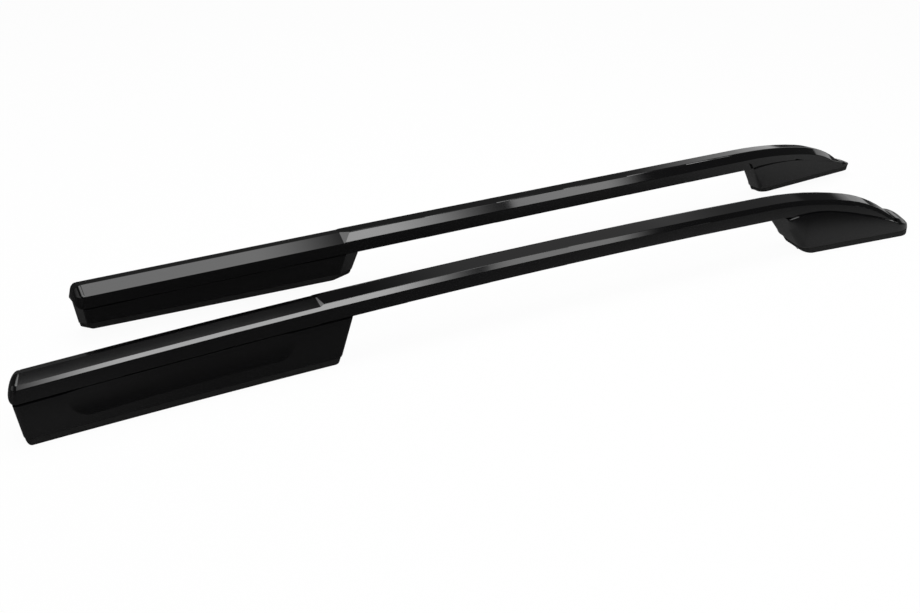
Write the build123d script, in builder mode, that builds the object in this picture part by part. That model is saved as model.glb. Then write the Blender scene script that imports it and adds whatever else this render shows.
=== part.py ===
from build123d import *
import os
from math import cos, radians, sin, tan

# A pair of roof side rails, millimetres.  One rail is modelled in its own frame, as the left one:
# x runs back from the nose, y points in towards the other rail, z is up from the outer lower edges.
# The right rail is its mirror image.

os.makedirs("parts", exist_ok=True)

# How the two rails stand
spacing = 222.0             # across, from one nose to the other
stagger = 103.0             # the right rail stands this much further back

# Top line of the bar: a long shallow arch, then two bends down to the tail
line_start = -40.0
arch_end = 1230.0
nose_height = 89.1
middle_height = 103.6
bend_height = 104.9
nose_bow = -1.1             # how far each stands in towards the other rail
middle_bow = 14.4
bend_bow = 7.4
first_bend_run = 174.0
first_bend_drop = 20.0
first_bend_sweep = 11.5     # outward, in plan
second_bend_run = 146.0
second_bend_sweep = 22.0
tail_height = 0.9

# Section of the bar, measured from the top line
bar_height = 31.3
outer_reach = 21.6
inner_reach = 28.4
side_lean = 0.8
shoulder_drop = 10.0
shoulder_size = 6.4
ridge_reach = 12.5
crease_drop = 9.4
ridge_round = 5.0
edge_round = 1.2
lower_round = 1.6
bar_wall = 2.4

# Crown of the bar, lowered over the long foot and brought back up by a short ramp
lowered_end = 416.0
ramp_length = 17.0
ramp_rise = 4.6
low_ridge_reach = 5.0
low_ridge_drop = 1.4
low_shoulder_drop = 5.6
low_crease_drop = 10.1

# Nose cap
nose_rake = 17.0            # degrees, its top stands further back
nose_slant = 12.4           # degrees, its inner side stands further back
seam_foot = 6.0             # seam of the cap at the bar's underside
cap_depth = 7.4
cap_tip_drop = 25.0         # foremost point of the cap, from the top line
cap_tip_reach = 2.0
cap_steps = [(0.0, 0.99), (0.37, 0.9), (0.66, 0.7), (0.88, 0.42), (1.0, 0.15)]  # depth and size, of the whole
spigot_reach = 26.0
spigot_clearance = 0.3

# Long front foot
front_tilt = 23.0           # degrees, how far its base is turned outwards
front_base_reach = 30.0
front_pitch = 0.4           # degrees, down to the rear
section_depth = 150.0       # of its sections, from the bar's underside to well past the base
ledge = 2.8                 # how far the foot stands proud of the bar's outer side
inner_ledge = 0.8
inner_lean = 0.18           # inward per unit of height
front_rake = 0.21           # back per unit of height
front_slant = 0.2           # back per unit of width, from the outer flank to the inner one
front_end = 2.5
front_corner = 9.0
rear_end = 458.0
rear_rake = 0.86
rear_slant = 0.8            # forward per unit of width
rear_corner = 22.0
end_round = 7.0
scoop_radius = 120.0
scoop_depth = 2.4
scoop_front = 92.0
scoop_rear = 342.0
foot_wall = 5.0
top_wall = 3.6
pocket_front = 18.0
pocket_rear = 392.0
pocket_count = 6
rib = 3.0

# Rear foot
rear_tilt = 14.0
rear_base_reach = 31.0
rear_sweep = 4.7            # degrees outwards in plan
rear_start = 1230.0
outer_top_lean = 0.3626     # of the flanks, in the tilted frame of the base
inner_top_lean = 0.38
rear_base_width = 57.6
seat_front_run = 6.0        # back from the front edge of the base
seat_front_drop = 34.9      # down from the bend of the top line
seat_shoulder_run = 32.0
seat_shoulder_drop = 30.9
seat_middle_run = 171.0
seat_middle_drop = 42.9
seat_tail_run = 300.0
seat_tail_height = 15.0
rear_tail = 316.0
rear_tail_height = 7.0
rear_front_base = 57.0
rear_front_corner = 14.0
rear_flank_round = 15.0
rear_tail_round = 26.0
rear_pocket_outer = 18.6    # either side of the top line
rear_pocket_inner = 9.4
tail_pocket_front = 140.0
tail_pocket_rear = 225.0
tail_pocket_front_height = 42.0
tail_pocket_rear_height = 19.0
tail_pocket_wall = 16.0
tail_pocket_width = 28.0
mitre_run = 133.0           # slant cut under the bar's tail
mitre_drop = 48.9
mitre_tail_run = 284.0
mitre_tail_height = 10.5

# Base pads
pad_height = 9.0
pad_inset = 0.7
pad_rim = 5.0

# Fixings
front_fixing_pocket = 1
middle_fixing_pocket = 4
rear_fixing = 1336.0
pedestal_length = 40.0
pedestal_gap = 2.0
fixing_reach = 1.0          # in from the top line
bolt_radius = 4.0
bolt_depth = 20.0
screw_pitch = 26.0
screw_radius = 3.0
screw_clearance = 0.3
head_radius = 5.0
head_height = 6.0
head_grip = 12.0
counterbore_radius = 5.6
key_radius = 2.5
key_depth = 3.2
plate_length = 42.0
plate_width = 18.0
plate_height = 5.0
plate_lift = 0.12           # clears the bar's slight curve

far = 400.0                 # safely past any piece
undercut = 100.0            # of the cuts at a foot's ends, along its base


with BuildLine() as top_line:
    arch = ThreePointArc(
        (line_start, nose_bow, nose_height),
        ((line_start + arch_end) / 2, middle_bow, middle_height),
        (arch_end, bend_bow, bend_height),
    )
    bend_end = arch @ 1 + Vector(first_bend_run, -first_bend_sweep, -first_bend_drop)
    first_bend = TangentArc(arch @ 1, bend_end, tangent=arch % 1)
    tail_drop = bend_height - first_bend_drop - tail_height
    tail_end = bend_end + Vector(second_bend_run, -second_bend_sweep, -tail_drop)
    TangentArc(bend_end, tail_end, tangent=first_bend % 1)
top_wire = top_line.wire()


def across(x):
    """Plane square to the top line at x: its own x points inward and its own y up."""
    along = x - line_start
    origin = top_wire.position_at(along, PositionMode.LENGTH)
    ahead = top_wire.tangent_at(along, PositionMode.LENGTH)
    return Plane(origin, x_dir=(0, 1, 0), z_dir=ahead)


def base_plane(x, reach, tilt, sweep, pitch):
    """Plane of a foot's base: its own x runs back, its own y inward and up with the tilt."""
    back = Vector(cos(radians(sweep)), -sin(radians(sweep)), -tan(radians(pitch)))
    inward = Vector(sin(radians(sweep)), cos(radians(sweep)), tan(radians(tilt)))
    return Plane((x, -reach, 0), x_dir=back, z_dir=back.cross(inward))


front_base = base_plane(0, front_base_reach, front_tilt, 0, front_pitch)
rear_base = base_plane(rear_start, rear_base_reach - bend_bow, rear_tilt, rear_sweep, 0)
front_side = Plane(front_base.origin, x_dir=front_base.x_dir, z_dir=-front_base.y_dir)
rear_side = Plane(rear_base.origin, x_dir=rear_base.x_dir, z_dir=-rear_base.y_dir)


def bar_points(lowered):
    """Corners of the bar's section, from the outer lower one over the crown to the inner lower one."""
    if lowered:
        shoulder = (shoulder_drop - low_shoulder_drop - outer_reach + side_lean, -low_shoulder_drop)
        ridge = (low_ridge_reach, -low_ridge_drop)
        crease = (inner_reach, -low_crease_drop)
    else:
        shoulder = (shoulder_size - outer_reach + side_lean, shoulder_size - shoulder_drop)
        ridge = (ridge_reach, 0)
        crease = (inner_reach, -crease_drop)
    return [
        (-outer_reach, -bar_height),
        (side_lean - outer_reach, -shoulder_drop),
        shoulder,
        ridge,
        crease,
        (inner_reach - side_lean, -bar_height),
    ]


def bar_face(plane, points, size=1.0):
    """The bar's section on a plane; size is that of the rounds on its corners, 0 for none."""
    rounds = [lower_round, edge_round, edge_round, ridge_round, edge_round, lower_round]
    with BuildSketch(plane) as face:
        with BuildLine():
            Polyline(*points, close=True)
        make_face()
        if size:
            for point, radius in zip(points, rounds):
                fillet(face.vertices().sort_by_distance(point)[0], radius=radius * size)
    return face.sketch


def hollow_face(plane, clearance=0.0):
    """The bar's hollow, which follows the lowered crown."""
    with BuildSketch(plane) as face:
        with BuildLine():
            Polyline(*bar_points(True), close=True)
        make_face()
        offset(amount=-bar_wall - clearance, kind=Kind.INTERSECTION, mode=Mode.REPLACE)
    return face.sketch


def crown_cut(plane, rise=0.0):
    """What is taken off the crown, raised by rise."""
    def carry_on(a, b, y):
        return (y, a[1] + (b[1] - a[1]) * (y - a[0]) / (b[0] - a[0]) + rise)

    shoulder, ridge, crease = bar_points(True)[2:5]
    outer = -2 * outer_reach
    inner = 2 * inner_reach
    with BuildSketch(plane) as face:
        with BuildLine():
            Polyline(
                carry_on(shoulder, ridge, outer),
                (ridge[0], ridge[1] + rise),
                carry_on(ridge, crease, inner),
                (inner, bar_height),
                (outer, bar_height),
                close=True,
            )
        make_face()
    return face.sketch


def screw_planes(x):
    """Planes at the bar's underside, where the two screws of a fixing go up into it."""
    places = []
    for place in (x - screw_pitch / 2, x + screw_pitch / 2):
        section = across(place)
        origin = section.from_local_coords((fixing_reach, -bar_height, 0))
        places.append(Plane(origin, x_dir=section.z_dir, z_dir=section.y_dir))
    return places


def pocket_middle(index):
    """Middle of a pocket of the long foot, counted from the front."""
    return pocket_front + index * pocket_pitch + (pocket_pitch - rib) / 2


pocket_pitch = (pocket_rear - pocket_front + rib) / pocket_count
front_fixing = pocket_middle(front_fixing_pocket)
middle_fixing = pocket_middle(middle_fixing_pocket)
fixings = [front_fixing, middle_fixing, rear_fixing]
all_screws = [plane for x in fixings for plane in screw_planes(x)]

# Seam between nose cap and bar
rake, slant = radians(nose_rake), radians(nose_slant)
nose = across(seam_foot)
seam = Plane(
    nose.from_local_coords((0, 0, tan(rake) * bar_height)),
    x_dir=nose.z_dir * sin(slant) + nose.x_dir * cos(slant),
    z_dir=(nose.z_dir * cos(slant) - nose.x_dir * sin(slant)) * cos(rake) - nose.y_dir * sin(rake),
)


def seam_points(size):
    """Corners of the section as the slanting seam cuts it, drawn in towards the cap's foremost point."""
    corners = []
    for y, z in bar_points(True):
        inward = cap_tip_reach + size * (y - cap_tip_reach)
        up = size * (z + cap_tip_drop) - cap_tip_drop
        corners.append((inward / cos(slant) + up * tan(rake) * tan(slant), up / cos(rake)))
    return corners


# Filled section of the bar along the whole top line, and what is taken off it
with BuildPart() as bar_blank:
    sweep(sections=bar_face(across(line_start), bar_points(False)), path=top_wire)

with BuildPart() as lowering:
    lowered_share = (lowered_end - line_start) / arch.length
    sweep(sections=crown_cut(across(line_start)), path=arch.edge().trim(0, lowered_share))
    loft([crown_cut(across(lowered_end)), crown_cut(across(lowered_end + ramp_length), ramp_rise)])

with BuildPart() as mitre:
    mitre_start = (mitre_run, bend_height - mitre_drop)
    with BuildSketch(rear_side):
        with BuildLine():
            Polyline(
                mitre_start,
                (mitre_tail_run, mitre_tail_height),
                (mitre_tail_run, far),
                (far, far),
                (far, -far),
                (0, -far),
                (0, mitre_start[1] - bar_height),
                close=True,
            )
        make_face()
    extrude(amount=far, both=True)

with BuildPart() as rail_bar:
    add(bar_blank.part)
    add(lowering.part, mode=Mode.SUBTRACT)
    add(mitre.part, mode=Mode.SUBTRACT)
    split(bisect_by=seam, keep=Keep.TOP)
    sweep(sections=hollow_face(across(line_start)), path=top_wire, mode=Mode.SUBTRACT)
    for plane in all_screws:
        with Locations(plane):
            Cylinder(screw_radius + screw_clearance, 4 * bar_wall, mode=Mode.SUBTRACT)

# Nose cap: a dome of shrinking sections, with a spigot in the bar
with BuildPart() as spigot:
    extrude(hollow_face(across(spigot_reach), spigot_clearance), amount=-spigot_reach)
    split(bisect_by=seam, keep=Keep.TOP)

with BuildPart() as nose_cap:
    loft([bar_face(seam.offset(-depth * cap_depth), seam_points(size), size) for depth, size in cap_steps])
    add(spigot.part)


def upright_edges(blank):
    """The corner edges that run up the ends of a foot, front ones first."""
    return blank.edges().filter_by(lambda edge: abs((edge % 0.5).Z) > 0.5).sort_by(Axis.X)


def end_cut(plane, foot, rake, past, radius=0.0):
    """Everything past a raked end line and under the base; past is +1 to the rear and -1 to the front."""
    with BuildSketch(plane) as cut:
        with BuildLine():
            Polyline(
                (foot + rake * far, far),
                (foot, 0),
                (foot - past * undercut, 0),
                (foot - past * undercut, -far),
                (foot + past * far, -far),
                (foot + past * far, far),
                close=True,
            )
        make_face()
        if radius:
            fillet(cut.vertices().sort_by_distance((foot, 0))[0], radius=radius)
    return cut.sketch


def skirt(inset):
    """Whole long foot, from the bar's underside to the base; inset draws its flanks and ends in."""
    outer = inset - outer_reach - ledge
    inner = inner_reach + inner_ledge - inset
    outer_lean = (front_base_reach - outer_reach - ledge) / (nose_height - bar_height)
    front_slanted = front_base.y_dir + front_base.x_dir * front_slant
    rear_slanted = front_base.y_dir - front_base.x_dir * rear_slant
    front = (front_side, front_end + inset, -front_rake, -1)
    rear = (front_side, rear_end - inset, rear_rake, 1)
    with BuildPart() as blank:
        with BuildSketch(across(line_start)):
            with BuildLine():
                Polyline(
                    (outer, -bar_height),
                    (inner, -bar_height),
                    (inner - inner_lean * section_depth, -bar_height - section_depth),
                    (outer - outer_lean * section_depth, -bar_height - section_depth),
                    close=True,
                )
            make_face()
        share = (rear_end + 2 * nose_height - line_start) / arch.length
        sweep(path=arch.edge().trim(0, share))
        split(bisect_by=front_base, keep=Keep.TOP)
        extrude(end_cut(*front), dir=front_slanted, amount=far, both=True, mode=Mode.SUBTRACT)
        extrude(end_cut(*rear), dir=rear_slanted, amount=far, both=True, mode=Mode.SUBTRACT)
        fillet(upright_edges(blank), radius=end_round)
        extrude(end_cut(*front, front_corner), dir=front_slanted, amount=far, both=True, mode=Mode.SUBTRACT)
        extrude(end_cut(*rear, rear_corner), dir=rear_slanted, amount=far, both=True, mode=Mode.SUBTRACT)
    return blank.part


def pocket_section(x, gap=0.0):
    """Inside of the long foot on a plane square to the bar, gap in from its walls."""
    ceiling = -bar_height - top_wall
    outer = foot_wall + gap - outer_reach - ledge
    inner = inner_reach + inner_ledge - inner_lean * top_wall - foot_wall - gap
    with BuildSketch(across(x)) as section:
        with BuildLine():
            Polyline(
                (outer, ceiling),
                (inner, ceiling),
                (inner - inner_lean * section_depth, ceiling - section_depth),
                (outer, ceiling - section_depth),
                close=True,
            )
        make_face()
    return section.sketch


with BuildPart() as front_foot:
    add(skirt(0))
    split(bisect_by=front_base.offset(pad_height), keep=Keep.TOP)
    for index in range(pocket_count):
        hollow = pocket_section(pocket_middle(index))
        extrude(hollow, amount=(pocket_pitch - rib) / 2, both=True, mode=Mode.SUBTRACT)
    scoop_middle = across((scoop_front + scoop_rear) / 2)
    scoop_length = scoop_rear - scoop_front
    for scoop_y in (
        scoop_depth - scoop_radius - outer_reach - ledge,
        inner_reach + inner_ledge + scoop_radius - scoop_depth,
    ):
        with Locations(scoop_middle):
            with Locations((scoop_y, -bar_height, 0)):
                Cylinder(scoop_radius, scoop_length, mode=Mode.SUBTRACT)
            with Locations((scoop_y, -bar_height, -scoop_length / 2), (scoop_y, -bar_height, scoop_length / 2)):
                Sphere(scoop_radius, mode=Mode.SUBTRACT)
    for plane in screw_planes(front_fixing) + screw_planes(middle_fixing):
        with Locations(plane):
            Cylinder(screw_radius + screw_clearance, 4 * top_wall, mode=Mode.SUBTRACT)


def base_pad(blank, opening, base):
    """Lower slice of a foot, as a strip round its edge."""
    with BuildPart() as pad:
        add(blank)
        add(opening, mode=Mode.SUBTRACT)
        split(bisect_by=base.offset(pad_height), keep=Keep.BOTTOM)
    return pad.part


def pedestal(x, base, section):
    """Mounting block between a foot's ceiling and the base, with its bolt hole and two screw holes."""
    with BuildPart() as block:
        extrude(section, amount=pedestal_length / 2, both=True)
        split(bisect_by=base, keep=Keep.TOP)
        floor = block.faces().sort_by(Axis(base.origin, base.z_dir))[0]
        with Locations(Plane(floor.center(), x_dir=base.x_dir, z_dir=base.z_dir)):
            Cylinder(
                bolt_radius, bolt_depth, align=(Align.CENTER, Align.CENTER, Align.MIN), mode=Mode.SUBTRACT
            )
        for plane in screw_planes(x):
            with Locations(plane.offset(-top_wall)):
                Cylinder(screw_radius + screw_clearance, 3 * head_grip, mode=Mode.SUBTRACT)
            with Locations(plane.offset(-top_wall - head_grip)):
                Cylinder(
                    counterbore_radius, far, align=(Align.CENTER, Align.CENTER, Align.MAX), mode=Mode.SUBTRACT
                )
    return block.part


def tail_cut(tail):
    """What is taken off the end of the rear foot, to round it in plan."""
    with BuildSketch(rear_base) as cut:
        with Locations((tail, rear_base_width / 2)):
            Rectangle(2 * rear_tail_round, far)
        with Locations((tail - 2 * rear_tail_round, rear_base_width / 2)):
            RectangleRounded(4 * rear_tail_round, rear_base_width, rear_tail_round, mode=Mode.SUBTRACT)
    return cut.sketch


# Rear foot: a side outline and a tapered cross-section, both in the frame of its tilted base
def rear_block(inset):
    """Whole rear foot, before the bar is let into it; inset draws its flanks and ends in."""
    front = rear_front_base + inset
    tail = rear_tail - inset
    seat_front = (seat_front_run, bend_height - seat_front_drop)
    seat_shoulder = (seat_shoulder_run, bend_height - seat_shoulder_drop)
    seat_middle = (seat_middle_run, bend_height - seat_middle_drop)
    seat_tail = (seat_tail_run, seat_tail_height)
    rake = (seat_front_run - rear_front_base) / seat_front[1]
    with BuildPart() as blank:
        with BuildSketch(rear_side):
            with BuildLine():
                Line((front, 0), seat_front)
                Line(seat_front, seat_shoulder)
                ThreePointArc(seat_shoulder, seat_middle, seat_tail)
                Polyline(seat_tail, (tail, rear_tail_height), (tail, 0), (front, 0))
            make_face()
        extrude(amount=far, both=True)
        with BuildSketch(Plane(rear_base.origin, x_dir=rear_base.y_dir, z_dir=rear_base.x_dir)):
            top = 2 * seat_shoulder[1]
            with BuildLine():
                Polyline(
                    (inset, 0),
                    (rear_base_width - inset, 0),
                    (rear_base_width - inset + inner_top_lean * top, top),
                    (inset + outer_top_lean * top, top),
                    close=True,
                )
            make_face()
        extrude(amount=far, both=True, mode=Mode.INTERSECT)
        fillet(upright_edges(blank)[:2], radius=rear_flank_round)
        extrude(end_cut(rear_side, front, rake, -1, rear_front_corner), amount=far, both=True, mode=Mode.SUBTRACT)
        extrude(tail_cut(tail), amount=far, both=True, mode=Mode.SUBTRACT)
    return blank.part


def rear_pocket(gap=0.0):
    """Room for the rear mounting block, on a plane square to the bar."""
    ceiling = -bar_height - top_wall
    with BuildSketch(across(rear_fixing)) as section:
        with BuildLine():
            Polyline(
                (gap - rear_pocket_outer, ceiling),
                (rear_pocket_inner - gap, ceiling),
                (rear_pocket_inner - gap, -2 * nose_height),
                (gap - rear_pocket_outer, -2 * nose_height),
                close=True,
            )
        make_face()
    return section.sketch


# Recess for the bar's tail, with sharp corners; behind the bar's tip the foot carries on in its shape
with BuildPart() as recess:
    sweep(sections=bar_face(across(line_start), bar_points(False), 0), path=top_wire)
    add(mitre.part, mode=Mode.SUBTRACT)

with BuildPart() as bar_tail:
    add(bar_blank.part)
    tip_place = rear_base.from_local_coords((mitre_tail_run, 0, 0))
    split(bisect_by=Plane(tip_place, z_dir=rear_base.x_dir), keep=Keep.TOP)
    extrude(tail_cut(rear_tail), amount=far, both=True, mode=Mode.SUBTRACT)

with BuildPart() as rear_foot:
    add(rear_block(0))
    add(bar_tail.part)
    add(recess.part, mode=Mode.SUBTRACT)
    split(bisect_by=rear_base.offset(pad_height), keep=Keep.TOP)
    extrude(rear_pocket(), amount=pedestal_length / 2 + pedestal_gap, both=True, mode=Mode.SUBTRACT)
    with BuildSketch(rear_side.offset(-tail_pocket_wall)):
        with BuildLine():
            Polyline(
                (tail_pocket_front, 0),
                (tail_pocket_rear, 0),
                (tail_pocket_rear, tail_pocket_rear_height),
                (tail_pocket_front, tail_pocket_front_height),
                close=True,
            )
        make_face()
    extrude(amount=-tail_pocket_width, mode=Mode.SUBTRACT)
    for plane in screw_planes(rear_fixing):
        with Locations(plane):
            Cylinder(screw_radius + screw_clearance, 4 * top_wall, mode=Mode.SUBTRACT)

# Nut plates in the bar, and the screws that come up into them
with BuildPart() as nut_plates:
    for x in fixings:
        with Locations(across(x)):
            with Locations((fixing_reach, bar_wall + plate_lift - bar_height, 0)):
                Box(plate_width, plate_height, plate_length, align=(Align.CENTER, Align.MIN, Align.CENTER))
    for plane in all_screws:
        with Locations(plane):
            Cylinder(screw_radius, 2 * bar_height, mode=Mode.SUBTRACT)

with BuildPart() as bar_screws:
    for plane in all_screws:
        grip = top_wall + head_grip
        with Locations(plane.offset(-grip)):
            Cylinder(
                screw_radius,
                grip + bar_wall + plate_height,
                align=(Align.CENTER, Align.CENTER, Align.MIN),
            )
            Cylinder(head_radius, head_height, align=(Align.CENTER, Align.CENTER, Align.MAX))
        with BuildSketch(plane.offset(-grip - head_height)):
            RegularPolygon(key_radius, 6)
        extrude(amount=key_depth, mode=Mode.SUBTRACT)

pieces = {
    "rail_bar": rail_bar.part,
    "nose_cap": nose_cap.part,
    "front_foot": front_foot.part,
    "front_base_pad": base_pad(skirt(pad_inset), skirt(pad_inset + pad_rim), front_base),
    "front_pedestal": pedestal(front_fixing, front_base, pocket_section(front_fixing, pedestal_gap)),
    "middle_pedestal": pedestal(middle_fixing, front_base, pocket_section(middle_fixing, pedestal_gap)),
    "rear_foot": rear_foot.part,
    "rear_base_pad": base_pad(rear_block(pad_inset), rear_block(pad_inset + pad_rim), rear_base),
    "rear_pedestal": pedestal(rear_fixing, rear_base, rear_pocket(pedestal_gap)),
    "nut_plates": nut_plates.part,
    "bar_screws": bar_screws.part,
}

# The pair stands with the middle of its box over the origin
box = Compound(list(pieces.values())).bounding_box()
to_left = Location((-(box.min.X + box.max.X + stagger) / 2, -spacing / 2, -box.min.Z))
to_right = Location((stagger - (box.min.X + box.max.X + stagger) / 2, spacing / 2, -box.min.Z))
for name, piece in pieces.items():
    left = piece.moved(to_left)
    right = mirror(piece, about=Plane.XZ).moved(to_right)
    for hand, placed in (("left", left), ("right", right)):
        placed.label = f"{hand}_{name}"
        export_step(placed, f"parts/{hand}_{name}.step")
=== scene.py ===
from math import cos, e, radians, sin

import bpy
import numpy as np
from mathutils import Matrix, Vector


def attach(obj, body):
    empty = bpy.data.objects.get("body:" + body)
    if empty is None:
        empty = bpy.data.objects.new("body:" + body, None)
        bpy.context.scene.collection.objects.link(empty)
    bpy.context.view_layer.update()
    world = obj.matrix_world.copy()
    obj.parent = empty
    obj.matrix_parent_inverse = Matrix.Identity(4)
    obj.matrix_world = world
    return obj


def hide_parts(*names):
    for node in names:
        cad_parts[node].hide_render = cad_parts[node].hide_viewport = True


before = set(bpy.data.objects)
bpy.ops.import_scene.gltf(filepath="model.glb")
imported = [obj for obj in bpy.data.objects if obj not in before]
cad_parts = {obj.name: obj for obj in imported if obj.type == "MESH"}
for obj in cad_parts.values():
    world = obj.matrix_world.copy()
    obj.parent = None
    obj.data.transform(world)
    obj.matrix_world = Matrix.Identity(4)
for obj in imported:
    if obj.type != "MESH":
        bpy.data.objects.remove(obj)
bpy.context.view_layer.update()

bl_info = {
    "name": "Roof side rail pair",
    "version": (1, 0, 0),
    "blender": (4, 5, 0),
    "location": "3D View > Sidebar > Rails",
    "description": "Finishes a pair of raised roof side rails in gloss black and sets up a studio for them",
    "category": "Object",
}

# Sizes are in metres. A rail is drawn in its own frame, where X runs back, Y inwards and Z up from the roof, and
# is then moved to its place in the pair. The right rail, mirrored, goes a step further back.
HANDS = ("left", "right")
RAIL_PLACE = np.array((-0.8248805, -0.111, -0.000169345))
RIGHT_STEP = np.array((0.103, 0, 0))

# The bar's ridge follows an arch through three points, and its section hangs below it.
ARCH = np.array(((-0.04, -0.0011, 0.0891), (0.595, 0.0144, 0.1036), (1.23, 0.0074, 0.1049)))
SECTION_HEIGHT = 0.0313

# The rear foot's base has a corner, a turn and a tilt. Its sides lean inwards, by so much per unit of height.
BASE_CORNER = np.array((1.23, -0.0236, 0))
BASE_SWEEP, BASE_TILT = radians(4.7), radians(14)
BASE_WIDTH, OUTER_LEAN, INNER_LEAN = 0.0576, 0.3626, 0.38
PAD_TOP = 0.009

# The rear foot's raked front and its seat, as distances along the base and heights over it.
FRONT_LOW = 0.057
FRONT_TOP, FRONT_HEIGHT = 0.006, 0.07
SEAT = np.array(((0.032, 0.074), (0.171, 0.062), (0.3, 0.015)))

# Edges that turn by more than this stay sharp.
SHARP_ANGLE = radians(32)

# Shares of a softbox's two sides over which it fades, and its power per area when it looks white.
LAMP_FADE = (0.26, 0.12)
LAMP_POWER = 4


class RailColours(bpy.types.PropertyGroup):
    """Colours of the rails' finishes."""

    lacquer: bpy.props.FloatVectorProperty(
        name="Lacquer", description="Gloss black of the bars", subtype="COLOR", size=3, min=0, max=1,
        default=(0.002, 0.002, 0.0022),
    )
    moulding: bpy.props.FloatVectorProperty(
        name="Moulding", description="Gloss black of the feet and nose caps", subtype="COLOR", size=3, min=0, max=1,
        default=(0.002, 0.002, 0.0022),
    )
    rubber: bpy.props.FloatVectorProperty(
        name="Rubber", description="Matt black of the base pads", subtype="COLOR", size=3, min=0, max=1,
        default=(0.008, 0.008, 0.008),
    )
    casting: bpy.props.FloatVectorProperty(
        name="Casting", description="Cast aluminium of the mounting blocks", subtype="COLOR", size=3, min=0, max=1,
        default=(0.6, 0.61, 0.62),
    )
    zinc: bpy.props.FloatVectorProperty(
        name="Zinc", description="Plated steel of the screws and plates", subtype="COLOR", size=3, min=0, max=1,
        default=(0.5, 0.52, 0.55),
    )


class RailShape(bpy.types.PropertyGroup):
    """Sizes of the moulded ends."""

    cap_depth: bpy.props.FloatProperty(
        name="Cap depth", description="How far a nose cap bulges ahead of its seam", default=0.0108, min=0.001,
        unit="LENGTH",
    )
    cap_fullness: bpy.props.FloatProperty(
        name="Cap fullness", description="Power of the nose cap's curve, 2 for an ellipse", default=2.3, min=1, max=6,
    )
    tail_start: bpy.props.FloatProperty(
        name="Tail start", description="Where the rear foot's tail begins, along its base", default=0.28, min=0.1,
        unit="LENGTH",
    )
    tail_end: bpy.props.FloatProperty(
        name="Tail end", description="Where the rear foot's tail ends, along its base", default=0.3165, min=0.1,
        unit="LENGTH",
    )
    tail_lift: bpy.props.FloatProperty(
        name="Tail lift", description="How far the tail stands proud of the bar", default=0.0008, unit="LENGTH",
    )
    front_round: bpy.props.FloatProperty(
        name="Front round", description="Radius of the rear foot's lower front corners", default=0.018, min=0.001,
        unit="LENGTH",
    )
    outer_drop: bpy.props.FloatProperty(
        name="Outer drop", description="How far the rear foot's outer edge lies below its seat", default=0.0045,
        min=0, unit="LENGTH",
    )
    inner_drop: bpy.props.FloatProperty(
        name="Inner drop", description="How far the rear foot's inner edge lies below its seat", default=0.015,
        min=0, unit="LENGTH",
    )
    front_slant: bpy.props.FloatProperty(
        name="Front slant", description="How far back the rear foot's front runs, per unit of width", default=0.36,
    )


class RailStudio(bpy.types.PropertyGroup):
    """Camera and lights."""

    lens: bpy.props.FloatProperty(name="Lens", description="Focal length", default=39.12, min=10, unit="CAMERA")
    yaw: bpy.props.FloatProperty(
        name="Yaw", description="Turn to the right of +Y", default=radians(25.97), subtype="ANGLE",
    )
    pitch: bpy.props.FloatProperty(name="Pitch", description="Tilt down", default=radians(29.99), subtype="ANGLE")
    roll: bpy.props.FloatProperty(
        name="Roll", description="Turn about the view", default=radians(0.52), subtype="ANGLE",
    )
    place: bpy.props.FloatVectorProperty(
        name="Place", description="Where the camera stands", subtype="TRANSLATION", unit="LENGTH", size=3,
        default=(-0.767661, -1.30133, 0.804041),
    )
    light: bpy.props.FloatProperty(name="Light", description="Brightness of the softboxes", default=1.0, min=0)
    surround: bpy.props.FloatProperty(
        name="Surround", description="How much of the white room the gloss shows", subtype="FACTOR", default=0.05,
        min=0, max=1,
    )
    # Strength of the painted pool of light that the gloss sees on the floor beside and between the rails.
    pool: bpy.props.FloatProperty(
        name="Pool", description="How much of the floor close to the rails the gloss shows", subtype="FACTOR",
        default=0.12, min=0, max=1,
    )


class Wire:
    """A value in a node tree; sums with it add Math nodes."""

    def __init__(self, finish, socket):
        self.finish = finish
        self.socket = socket

    def _math(self, operation, *values):
        return self.finish.add("ShaderNodeMath", {"operation": operation}, dict(enumerate(values)))

    def __add__(self, other):
        return self._math("ADD", self, other)

    __radd__ = __add__

    def __sub__(self, other):
        return self._math("SUBTRACT", self, other)

    def __rsub__(self, other):
        return self._math("SUBTRACT", other, self)

    def __mul__(self, other):
        return self._math("MULTIPLY", self, other)

    __rmul__ = __mul__

    def __rpow__(self, other):
        return self._math("POWER", other, self)

    def __abs__(self):
        return self._math("ABSOLUTE", self)


class Finish:
    """The nodes of a material, a world or a lamp, added one by one."""

    def __init__(self, owner, output):
        self.owner = owner
        self.tree = owner.node_tree
        self.tree.nodes.clear()
        self.output = self.tree.nodes.new(output)

    def add(self, kind, settings=None, inputs=None, output=0):
        """Adds a node: its settings first, then the values or links of its sockets; gives one of its outputs."""
        node = self.tree.nodes.new(kind)
        for name, value in (settings or {}).items():
            setattr(node, name, value)
        for name, value in (inputs or {}).items():
            if isinstance(value, Wire):
                self.tree.links.new(value.socket, node.inputs[name])
            elif node.inputs[name].type == "RGBA":
                node.inputs[name].default_value = (*value, 1)
            else:
                node.inputs[name].default_value = value
        return Wire(self, node.outputs[output])

    def smooth(self, value, start, end, low, high):
        """Runs from low to high, with soft ends, while a value runs from start to end."""
        return self.add("ShaderNodeMapRange", {"interpolation_type": "SMOOTHSTEP"}, {
            "Value": value, "From Min": start, "From Max": end, "To Min": low, "To Max": high,
        })

    def mixed(self, factor, first, second):
        """A colour between two others."""
        colour_a, colour_b, result = 6, 7, 2
        return self.add(
            "ShaderNodeMix", {"data_type": "RGBA"}, {"Factor": factor, colour_a: first, colour_b: second},
            output=result,
        )

    def along_and_across(self, vector):
        """The first two parts of a vector."""
        first = self.add("ShaderNodeSeparateXYZ", None, {"Vector": vector}, output="X")
        return first, Wire(self, first.socket.node.outputs["Y"])

    def close(self, shader):
        """Sends a shader to the surface and gives the material, world or lamp."""
        self.tree.links.new(shader.socket, self.output.inputs["Surface"])
        return self.owner


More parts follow.
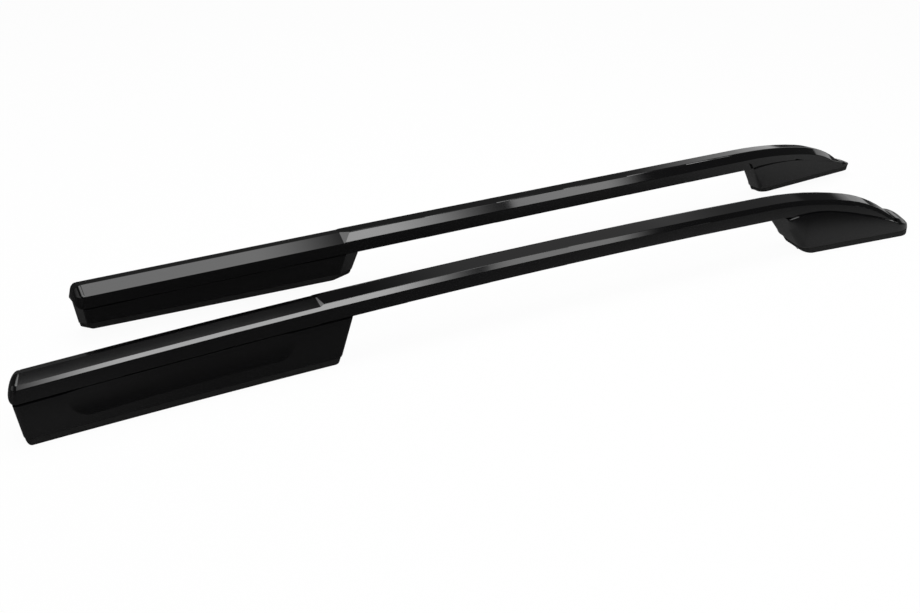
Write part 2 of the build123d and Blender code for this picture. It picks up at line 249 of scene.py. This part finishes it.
def material_finish(name):
    """A new material with empty nodes."""
    material = bpy.data.materials.new(name)
    material.use_nodes = True
    return Finish(material, "ShaderNodeOutputMaterial")


def rays_seen(finish):
    """The share of rays that see the room, which are the camera's, the gloss's and those through glass."""
    camera, gloss, through = (
        finish.add("ShaderNodeLightPath", output=f"Is {kind} Ray") for kind in ("Camera", "Glossy", "Transmission")
    )
    return {"share": camera + gloss + through, "gloss": gloss}


def object_place(finish):
    """Object coordinates, in metres."""
    return finish.add("ShaderNodeTexCoord", output="Object")


def scaled(colour, factor):
    """A colour made brighter or darker."""
    return tuple(part * factor for part in colour)


def gloss_black(name, colour, roughness, peel):
    """Gloss black: a slight orange peel, with a haze that varies a little over the surface."""
    finish = material_finish(name)
    place = object_place(finish)
    haze = finish.add("ShaderNodeTexNoise", None, {"Vector": place, "Scale": 9.0, "Detail": 3.0})
    ripple = finish.add("ShaderNodeTexNoise", None, {"Vector": place, "Scale": 160.0, "Detail": 2.0})
    bump = finish.add("ShaderNodeBump", None, {"Strength": peel, "Distance": 0.0004, "Height": ripple})
    return finish.close(finish.add("ShaderNodeBsdfPrincipled", None, {
        "Base Color": finish.mixed(haze, colour, scaled(colour, 1.3)),
        "Roughness": roughness + (haze - 0.5) * 0.04,
        "Specular IOR Level": 0.6,
        "Normal": bump,
    }))


def matt_rubber(name, colour):
    """Matt rubber: a fine grain."""
    finish = material_finish(name)
    place = object_place(finish)
    grain = finish.add("ShaderNodeTexNoise", None, {"Vector": place, "Scale": 700.0, "Detail": 3.0})
    bump = finish.add("ShaderNodeBump", None, {"Strength": 0.3, "Distance": 0.0003, "Height": grain})
    return finish.close(finish.add("ShaderNodeBsdfPrincipled", None, {
        "Base Color": finish.mixed(grain, colour, scaled(colour, 1.8)),
        "Roughness": 0.5 + grain * 0.2,
        "Specular IOR Level": 0.3,
        "Normal": bump,
    }))


def bare_metal(name, colour, roughness, scale):
    """Bare metal with a cast or plated mottle."""
    finish = material_finish(name)
    place = object_place(finish)
    mottle = finish.add("ShaderNodeTexNoise", None, {"Vector": place, "Scale": scale, "Detail": 4.0})
    bump = finish.add("ShaderNodeBump", None, {"Strength": 0.2, "Distance": 0.0003, "Height": mottle})
    return finish.close(finish.add("ShaderNodeBsdfPrincipled", None, {
        "Base Color": finish.mixed(mottle, scaled(colour, 0.8), colour),
        "Metallic": 1.0,
        "Roughness": roughness + mottle * 0.15,
        "Normal": bump,
    }))


def unit(vectors):
    """Vectors cut to length one."""
    return vectors / np.linalg.norm(vectors, axis=-1, keepdims=True)


def rounded(corners, radii, steps=8):
    """Closed outlines with rounded corners.

    Each corner becomes an arc that touches both of its sides: its centre lies on the line that halves the corner,
    radius / sin(half angle) from the corner, and the arc turns evenly from one side to the other.
    """
    back = unit(np.roll(corners, 1, -2) - corners)
    ahead = unit(np.roll(corners, -1, -2) - corners)
    half = np.arccos(np.clip((back * ahead).sum(-1), -1, 1)) / 2
    centre = corners + unit(back + ahead) * (radii / np.sin(half))[..., None]
    setback = (radii / np.tan(half))[..., None]
    turn = (np.pi - 2 * half)[..., None]
    share = np.linspace(0, 1, steps)
    first, last = np.sin((1 - share) * turn) / np.sin(turn), np.sin(share * turn) / np.sin(turn)
    start, end = corners + back * setback - centre, corners + ahead * setback - centre
    arcs = centre[..., None, :] + first[..., None] * start[..., None, :] + last[..., None] * end[..., None, :]
    return arcs.reshape(*corners.shape[:-2], -1, 2)


def skin(name, rings, material, loop=False):
    """A closed mesh over a grid of rings, facing outwards: four-sided faces between them, and a fan at each end.

    A loop of rings has no ends: its first ring is repeated after its last one.
    """
    if loop:
        rings = np.concatenate([rings, rings[:1]])
    count, around = rings.shape[:2]
    points = np.concatenate([rings.reshape(-1, 3), rings[[0, -1]].mean(axis=1)])
    ring, spot = np.meshgrid(np.arange(count - 1), np.arange(around), indexing="ij")
    near, beside = ring * around + spot, ring * around + (spot + 1) % around
    quads = np.stack([near, beside, beside + around, near + around], -1).reshape(-1, 4)
    edge, following = np.arange(around), (np.arange(around) + 1) % around
    last, hub = (count - 1) * around, np.full(around, count * around)
    fans = np.concatenate([
        np.stack([following, edge, hub], -1), np.stack([last + edge, last + following, hub + 1], -1),
    ])
    if loop:
        points, fans = points[:last], fans[:0]
        quads %= last
    corners = points[np.concatenate([quads[:, :3], quads[:, [0, 2, 3]], fans])] - points.mean(axis=0)
    volume = np.einsum("ij,ij->", corners[:, 0], np.cross(corners[:, 1], corners[:, 2]))
    order = slice(None) if volume > 0 else slice(None, None, -1)
    mesh = bpy.data.meshes.new(name)
    mesh.from_pydata(points.tolist(), [], quads[:, order].tolist() + fans[:, order].tolist())
    mesh.shade_smooth()
    mesh.set_sharp_from_angle(angle=SHARP_ANGLE)
    mesh.materials.append(material)
    piece = bpy.data.objects.new(name, mesh)
    bpy.context.collection.objects.link(piece)
    return piece


def placed(points, hand):
    """Points of one rail in the pair's frame; the right rail is the left one's mirror image, further back."""
    points = points + RAIL_PLACE
    return points if hand == "left" else points * (1, -1, 1) + RIGHT_STEP


def section_frame(length):
    """Origin, inward, up and rearward directions of the bar's section.

    The arch is the circle through three points: P = A + R sin(s / R) T + R (1 - cos(s / R)) N, where T is the
    tangent at A and N the part of the chord that is square to it.
    """
    start, middle, end = ARCH
    tangent = unit((middle - start) / ((middle - start) ** 2).sum() - (end - start) / ((end - start) ** 2).sum())
    chord = end - start
    side = unit(chord - tangent * (chord @ tangent))
    radius = chord @ chord / (2 * chord @ side)
    turn = (length - start[0]) / radius
    origin = start + radius * (np.sin(turn) * tangent + (1 - np.cos(turn)) * side)
    back = np.cos(turn) * tangent + np.sin(turn) * side
    inward = unit(np.array((0, 1, 0)) - back * back[1])
    return origin, inward, np.cross(back, inward), back


def nose_rings(shape):
    """Rings of a nose cap: the bar's section in its slanting seam, shrinking towards the foremost point.

    Ahead of the seam by depth * sin(a) ** (2 / n), the section has the size cos(a) ** (2 / n).
    """
    seam, rake, slant = 0.006, radians(17), radians(12.4)
    inset, quarter, count = 0.992, 0.985 * np.pi / 2, 22
    origin, inward, up, back = section_frame(seam)
    origin = origin + back * SECTION_HEIGHT * np.tan(rake)
    across = back * sin(slant) + inward * cos(slant)
    normal = (back * cos(slant) - inward * sin(slant)) * cos(rake) - up * sin(rake)
    rise = np.cross(normal, across)
    corners = np.array((
        (-0.0216, -SECTION_HEIGHT), (-0.0208, -0.01), (-0.0164, -0.0056),
        (0.005, -0.0014), (0.0284, -0.0101), (0.0276, -SECTION_HEIGHT),
    ))
    outline = rounded(corners, np.array((0.003, 0.003, 0.003, 0.005, 0.004, 0.003)))
    tip = np.array((0.002, -0.022))
    angle = np.linspace(0, quarter, count)
    size, ahead = np.cos(angle) ** (2 / shape.cap_fullness), np.sin(angle) ** (2 / shape.cap_fullness)
    spots = tip + (size * inset)[:, None, None] * (outline - tip)
    flat = spots[..., 0] / cos(slant) + spots[..., 1] * np.tan(rake) * np.tan(slant)
    high = spots[..., 1] / cos(rake)
    bulge = (ahead * shape.cap_depth)[:, None, None] * normal
    return origin + flat[..., None] * across + high[..., None] * rise - bulge


def seat_height(run):
    """Height of the rear foot's seat over its base: a short rise, then an arc of the circle through three points."""
    sums = (SEAT ** 2).sum(axis=1)
    middle = np.linalg.solve(2 * (SEAT[1:] - SEAT[0]), sums[1:] - sums[0])
    radius = np.linalg.norm(SEAT[0] - middle)
    arc = middle[1] + np.sqrt(radius ** 2 - (run - middle[0]) ** 2)
    crest, crest_height = SEAT[0]
    rise = (crest_height - FRONT_HEIGHT) / (crest - FRONT_TOP)
    return np.where(run < crest, FRONT_HEIGHT + (run - FRONT_TOP) * rise, arc)


def on_rear_base(run, inward, height):
    """Points given along, across and over the rear foot's base, which is swept outwards and tilted."""
    back = np.array((cos(BASE_SWEEP), -sin(BASE_SWEEP), 0))
    up = unit(np.cross(back, (sin(BASE_SWEEP), cos(BASE_SWEEP), np.tan(BASE_TILT))))
    across = np.cross(up, back)
    return BASE_CORNER + run[..., None] * back + inward[..., None] * across + height[..., None] * up


def outer_side(height):
    """Spots of the rear foot's outer side, across and over its base."""
    return np.stack([OUTER_LEAN * height, height], -1)


def inner_side(height):
    """Spots of the rear foot's inner side, across and over its base."""
    return np.stack([BASE_WIDTH + INNER_LEAN * height, height], -1)


def foot_body(shape, run):
    """Outlines of the rear foot ahead of its tail, across and over its base.

    The sides lean inwards and the front is raked: an outline runs from the higher of the pad and the raked front up
    to the seat, less the drops at its edges.  Its lower corners follow a circle in from the front.
    """
    tail_drop, drop_length, least_side = 0.0045, 0.08, 0.0003
    crown_share, crown_rise = 0.3, np.array((0, 0.0005))
    seat = seat_height(run)
    low = np.maximum(PAD_TOP, FRONT_HEIGHT * (FRONT_LOW - run) / (FRONT_LOW - FRONT_TOP))
    early = np.clip((shape.tail_start - run) / drop_length, 0, 1)
    outer_top = np.maximum(seat - shape.outer_drop * early, low + least_side)
    inner_top = np.maximum(seat - tail_drop - (shape.inner_drop - tail_drop) * early, low + least_side)
    outer_edge, inner_edge = outer_side(outer_top), inner_side(inner_top)
    corners = np.stack([
        outer_side(low),
        outer_edge,
        outer_edge * (1 - crown_share) + inner_edge * crown_share + crown_rise,
        outer_edge * crown_share + inner_edge * (1 - crown_share) + crown_rise,
        inner_edge,
        inner_side(low),
    ], -2)
    round_end, edge_radius, crown_radius, outer_share, side_share = 0.05, 0.002, 0.001, 0.6, 0.4
    drawn_in = np.clip((round_end + shape.front_round - run) / shape.front_round, 0, 1)
    lower = edge_radius + (shape.front_round - edge_radius) * (1 - np.sqrt(1 - drawn_in ** 2))
    outer_room, inner_room = side_share * (outer_top - low), side_share * (inner_top - low)
    crown_radii = np.full_like(run, crown_radius)
    radii = np.stack([
        np.minimum(lower * outer_share, outer_room), np.minimum(edge_radius, outer_room), crown_radii,
        crown_radii, np.minimum(edge_radius, inner_room), np.minimum(lower, inner_room),
    ], -1)
    return rounded(corners, radii)


def foot_tail(shape):
    """Outlines of the rear foot's tail, and how far along the base they stand.

    The outline keeps its shape, while its width follows (1 - s ** 2.4) ** (1 / 2.4) and its height
    (1 - s ** 1.3) ** 0.75 to the tail's end, where s is 1.
    """
    quarter, count = 0.992 * np.pi / 2, 30
    lift = shape.tail_lift
    corners = np.array((
        (0.0033, PAD_TOP), (0.0089, 0.0245), (0.0206, 0.0279 + lift),
        (0.0477, 0.0248 + lift), (0.0652, 0.02), (0.061, PAD_TOP),
    ))
    outline = rounded(corners, np.array((0.001, 0.005, 0.005, 0.006, 0.007, 0.001)))
    share = np.sin(np.linspace(0, quarter, count))
    wide, high = (1 - share ** 2.4) ** (1 / 2.4), (1 - share ** 1.3) ** 0.75
    middle = np.array((0.033, PAD_TOP))
    outlines = middle + (outline - middle) * np.stack([wide, high], -1)[:, None, :]
    return outlines, shape.tail_start + share * (shape.tail_end - shape.tail_start)


def rear_rings(shape):
    """Rings of a rear foot, cut square to its base: those of its body, close together at the front, and of its tail.

    Near the front the rings are slanted, so that their outer side stands further back.  Behind the front the slant
    fades as 3 f ** 2 - 2 f ** 3.
    """
    front_runs, long_runs = np.linspace(0.0075, 0.09, 56), np.linspace(0.095, shape.tail_start, 36)
    body_runs = np.concatenate([front_runs, long_runs])
    tail, tail_runs = foot_tail(shape)
    spots = np.concatenate([foot_body(shape, body_runs), tail])
    inward, height = spots[..., 0], spots[..., 1]
    runs = np.concatenate([body_runs, tail_runs])[:, None]
    slant_end, slant_length = 0.16, 0.1
    fade = np.clip((slant_end - runs) / slant_length, 0, 1)
    fade = fade ** 2 * (3 - 2 * fade)
    runs = runs + shape.front_slant * fade * (BASE_WIDTH + INNER_LEAN * height - inward)
    return on_rear_base(runs, inward, height)


def rim_rings(shape):
    """Rings of the rear foot's base rim: a leaning profile with four corners, carried round the base's outline.

    The outline is a four-cornered one with rounded corners, drawn at the floor and at the foot, whole and drawn in.
    """
    rim_end, front_lean, extra_round, steps = 0.3163, 0.73, 0.004, 24
    outside, inside = 0.0007, 0.0057

    def outline(height, inset):
        front, end = FRONT_LOW - front_lean * height + inset, rim_end - inset
        outer, inner = OUTER_LEAN * height + inset, BASE_WIDTH + INNER_LEAN * height - inset
        corners = np.array((
            (front + shape.front_slant * BASE_WIDTH, outer), (front, inner), (end, inner), (end, outer),
        ))
        radii = np.array((shape.front_round + extra_round, 0.013, 0.026, 0.026)) - inset
        run, inward = rounded(corners, radii, steps).T
        return on_rear_base(run, inward, np.full_like(run, height))

    profile = ((0.0, outside), (PAD_TOP, outside), (PAD_TOP, inside), (0.0, inside))
    return np.stack([outline(height, inset) for height, inset in profile], 1)


def stand_for(rings, material, node, loop=False):
    """One closed piece for each rail, in the place of its node."""
    for hand in HANDS:
        piece = skin(f"{hand}_{node}_moulding", placed(rings, hand), material, loop)
        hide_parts(f"{hand}_{node}")
        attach(piece, "root")


def dress(material, *names):
    """Gives a material to a node of each rail."""
    for name in names:
        for hand in HANDS:
            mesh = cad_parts[f"{hand}_{name}"].data
            mesh.materials.clear()
            mesh.materials.append(material)


class RAILS_OT_bars(bpy.types.Operator):
    """Finish the two bars"""

    bl_idname = "rails.bars"
    bl_label = "Bars"

    def execute(self, context):
        colours = context.scene.rail_colours
        dress(gloss_black("bar_lacquer", tuple(colours.lacquer), roughness=0.07, peel=0.01), "rail_bar")
        return {"FINISHED"}


class RAILS_OT_feet(bpy.types.Operator):
    """Mould the rear feet, and finish the front feet and the pads"""

    bl_idname = "rails.feet"
    bl_label = "Feet"

    def execute(self, context):
        colours, shape = context.scene.rail_colours, context.scene.rail_shape
        moulding = gloss_black("foot_moulding", tuple(colours.moulding), roughness=0.1, peel=0.01)
        dress(moulding, "front_foot")
        stand_for(rear_rings(shape), moulding, "rear_foot")
        rubber = matt_rubber("pad_rubber", tuple(colours.rubber))
        dress(rubber, "front_base_pad")
        stand_for(rim_rings(shape), rubber, "rear_base_pad", loop=True)
        return {"FINISHED"}


class RAILS_OT_noses(bpy.types.Operator):
    """Mould the two nose caps"""

    bl_idname = "rails.noses"
    bl_label = "Nose caps"

    def execute(self, context):
        colours = context.scene.rail_colours
        moulding = gloss_black("cap_moulding", tuple(colours.moulding), roughness=0.1, peel=0.01)
        stand_for(nose_rings(context.scene.rail_shape), moulding, "nose_cap")
        return {"FINISHED"}


class RAILS_OT_fixings(bpy.types.Operator):
    """Finish the mounting blocks, nut plates and screws"""

    bl_idname = "rails.fixings"
    bl_label = "Fixings"

    def execute(self, context):
        colours = context.scene.rail_colours
        casting = bare_metal("block_casting", tuple(colours.casting), roughness=0.35, scale=300.0)
        zinc = bare_metal("fixing_zinc", tuple(colours.zinc), roughness=0.25, scale=500.0)
        dress(casting, "front_pedestal", "middle_pedestal", "rear_pedestal")
        dress(zinc, "nut_plates", "bar_screws")
        return {"FINISHED"}


class RAILS_OT_stage(bpy.types.Operator):
    """Set up the floor, the lights, the world and the camera"""

    bl_idname = "rails.stage"
    bl_label = "Stage"

    def execute(self, context):
        studio = context.scene.rail_studio
        context.scene.view_settings.view_transform = "Standard"
        self.floor(studio)
        self.world(context, studio)
        self.lights(studio)
        self.camera(context, studio)
        return {"FINISHED"}

    def floor(self, studio):
        """A wide white floor that keeps a faint shadow.

        The gloss sees it almost black, apart from a painted pool of light close to the rails, which the floor gives
        off
        though it is no lamp: a strip before the near rail and one between the rails.  Away from its middle line, each
        strip fades as e ** (-k * distance ** 2).
        """
        half, glow_share = 9, 0.96
        near_line, near_fall, between_fall, dimmest = 0.2, -60.0, -40.0, 0.02
        mesh = bpy.data.meshes.new("studio_floor")
        mesh.from_pydata([(-half, -half, 0), (half, -half, 0), (half, half, 0), (-half, half, 0)], [], [(0, 1, 2, 3)])
        floor = bpy.data.objects.new("studio_floor", mesh)
        bpy.context.collection.objects.link(floor)
        finish = material_finish("floor_white")
        seen = rays_seen(finish)
        along, across = finish.along_and_across(object_place(finish))
        # Painted pool of light: the floor glows brighter in the gloss beside and between the rails, painting
        # reflections on them.
        front = finish.smooth(along, start=-0.8, end=-0.55, low=studio.pool * 0.9, high=studio.pool * 0.3)
        rear = finish.smooth(along, start=-0.4, end=0.7, low=0.0, high=studio.pool * 2.1)
        middle = finish.smooth(along, start=0.3, end=0.8, low=0.0, high=studio.pool * 2)
        before = across + near_line
        near = (rear + front) * e ** (before * before * near_fall)
        between = middle * e ** (across * across * between_fall)
        pool = near + between + dimmest
        paint = finish.add("ShaderNodeBsdfDiffuse", None, {"Color": (0.8, 0.8, 0.8)})
        glow = finish.add("ShaderNodeEmission", None, {"Color": 1.0 - seen["gloss"] + seen["gloss"] * pool})
        finish.close(finish.add("ShaderNodeMixShader", None, {0: seen["share"] * glow_share, 1: paint, 2: glow}))
        mesh.materials.append(finish.owner)

    def world(self, context, studio):
        """White where the camera sees it, dimmer in the gloss, and a soft fill elsewhere."""
        world = bpy.data.worlds.new("studio_world")
        world.use_nodes = True
        room = Finish(world, "ShaderNodeOutputWorld")
        seen = rays_seen(room)
        white = room.add("ShaderNodeBackground", None, {
            "Color": (1.0, 1.0, 1.0), "Strength": 1.0 - seen["gloss"] * (1.0 - studio.surround),
        })
        fill = room.add("ShaderNodeBackground", None, {"Color": (1.0, 1.0, 1.0), "Strength": 0.15})
        room.close(room.add("ShaderNodeMixShader", None, {0: seen["share"], 1: fill, 2: white}))
        context.scene.world = world

    def lights(self, studio):
        """Softboxes, each given by its middle, its two sizes, the point it faces and its brightness.

        Those with no such point face straight down.
        """
        ceiling = 2.1
        boxes = {
            "overhead_near": ((-0.05, -1.35, ceiling), (1.38, 0.7), None, 6.0),
            "overhead_far": ((-0.28, 0.2, ceiling), (1.84, 0.8), None, 4.5),
            "overhead_corner": ((-0.55, 0.965, ceiling), (1.3, 0.73), None, 2.0),
            "overhead_left": ((-0.75, 0.85, ceiling), (0.8, 0.5), None, 1.4),
            "overhead_edge": ((0.35, 0.8, ceiling), (0.5, 0.4), None, 1.2),
            "overhead_right": ((1.22, -0.55, ceiling), (0.68, 2.3), None, 2.4),
            "back_glow": ((1.5, 1.9, ceiling), (1.6, 0.5), None, 0.22),
            "back_core": ((1.3, 1.95, ceiling), (0.8, 0.3), None, 0.25),
            "back_panel": ((0.45, 2.5, 1.5), (2.4, 0.6), (0.0, 0.0, 0.1), 0.8),
            "right_panel": ((3.2, 1.5, 0.5), (3.0, 0.9), (0.0, 0.0, 0.5), 0.6),
            "right_upper": ((3.0, 2.4, 2.3), (2.5, 0.9), (0.3, 0.0, 0.1), 0.09),
            "left_panel": ((-3.0, 0.4, 1.0), (2.4, 1.6), (-0.7, 0.0, 0.1), 0.35),
        }
        for name, (middle, size, target, brightness) in boxes.items():
            lamp = bpy.data.lights.new(name, "AREA")
            lamp.shape = "RECTANGLE"
            lamp.size, lamp.size_y = (side / (1 - fade) for side, fade in zip(size, LAMP_FADE))
            lamp.energy = LAMP_POWER * lamp.size * lamp.size_y * brightness * studio.light
            self.soft_edges(lamp)
            light = bpy.data.objects.new(name, lamp)
            light.location = middle
            if target:
                light.rotation_euler = (Vector(target) - Vector(middle)).to_track_quat("-Z", "Y").to_euler()
            bpy.context.collection.objects.link(light)

    def soft_edges(self, lamp):
        """Lets a softbox fade towards its edges, so that its reflection has no hard ends."""
        lamp.use_nodes = True
        finish = Finish(lamp, "ShaderNodeOutputLight")
        ways = finish.along_and_across(finish.add("ShaderNodeNewGeometry", output="Parametric"))
        along, across = (
            finish.smooth(abs(way - 0.5), start=0.5 - fade, end=0.5, low=1.0, high=0.0)
            for way, fade in zip(ways, LAMP_FADE)
        )
        finish.close(finish.add("ShaderNodeEmission", None, {"Color": along * across}))

    def camera(self, context, studio):
        """A camera at the photograph's place."""
        yaw, pitch, roll = studio.yaw, studio.pitch, studio.roll
        ahead = Vector((sin(yaw) * cos(pitch), cos(yaw) * cos(pitch), -sin(pitch)))
        flat_right = Vector((cos(yaw), -sin(yaw), 0))
        flat_up = Vector((sin(yaw) * sin(pitch), cos(yaw) * sin(pitch), cos(pitch)))
        right = flat_right * cos(roll) + flat_up * sin(roll)
        up = flat_up * cos(roll) - flat_right * sin(roll)
        lens = bpy.data.cameras.new("camera")
        lens.sensor_width = 36.0
        lens.sensor_fit = "HORIZONTAL"
        lens.lens = studio.lens
        lens.clip_end = 50.0
        camera = bpy.data.objects.new("camera", lens)
        turn = Matrix((right, up, -ahead)).transposed().to_4x4()
        camera.matrix_world = Matrix.Translation(Vector(studio.place)) @ turn
        context.collection.objects.link(camera)
        context.scene.camera = camera


class RAILS_PT_panel(bpy.types.Panel):
    """Lists the steps that make the rails"""

    bl_idname = "RAILS_PT_panel"
    bl_label = "Roof side rails"
    bl_space_type = "VIEW_3D"
    bl_region_type = "UI"
    bl_category = "Rails"

    def draw(self, context):
        for operator in OPERATORS:
            self.layout.operator(operator.bl_idname)


OPERATORS = (RAILS_OT_bars, RAILS_OT_feet, RAILS_OT_noses, RAILS_OT_fixings, RAILS_OT_stage)
CLASSES = (RailColours, RailShape, RailStudio, *OPERATORS, RAILS_PT_panel)


def register():
    for item in CLASSES:
        bpy.utils.register_class(item)
    bpy.types.Scene.rail_colours = bpy.props.PointerProperty(type=RailColours)
    bpy.types.Scene.rail_shape = bpy.props.PointerProperty(type=RailShape)
    bpy.types.Scene.rail_studio = bpy.props.PointerProperty(type=RailStudio)


def unregister():
    del bpy.types.Scene.rail_studio
    del bpy.types.Scene.rail_shape
    del bpy.types.Scene.rail_colours
    for item in reversed(CLASSES):
        bpy.utils.unregister_class(item)


def main():
    """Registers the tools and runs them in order."""
    register()
    bpy.ops.rails.bars()
    bpy.ops.rails.feet()
    bpy.ops.rails.noses()
    bpy.ops.rails.fixings()
    bpy.ops.rails.stage()


if __name__ == "__main__":
    main()
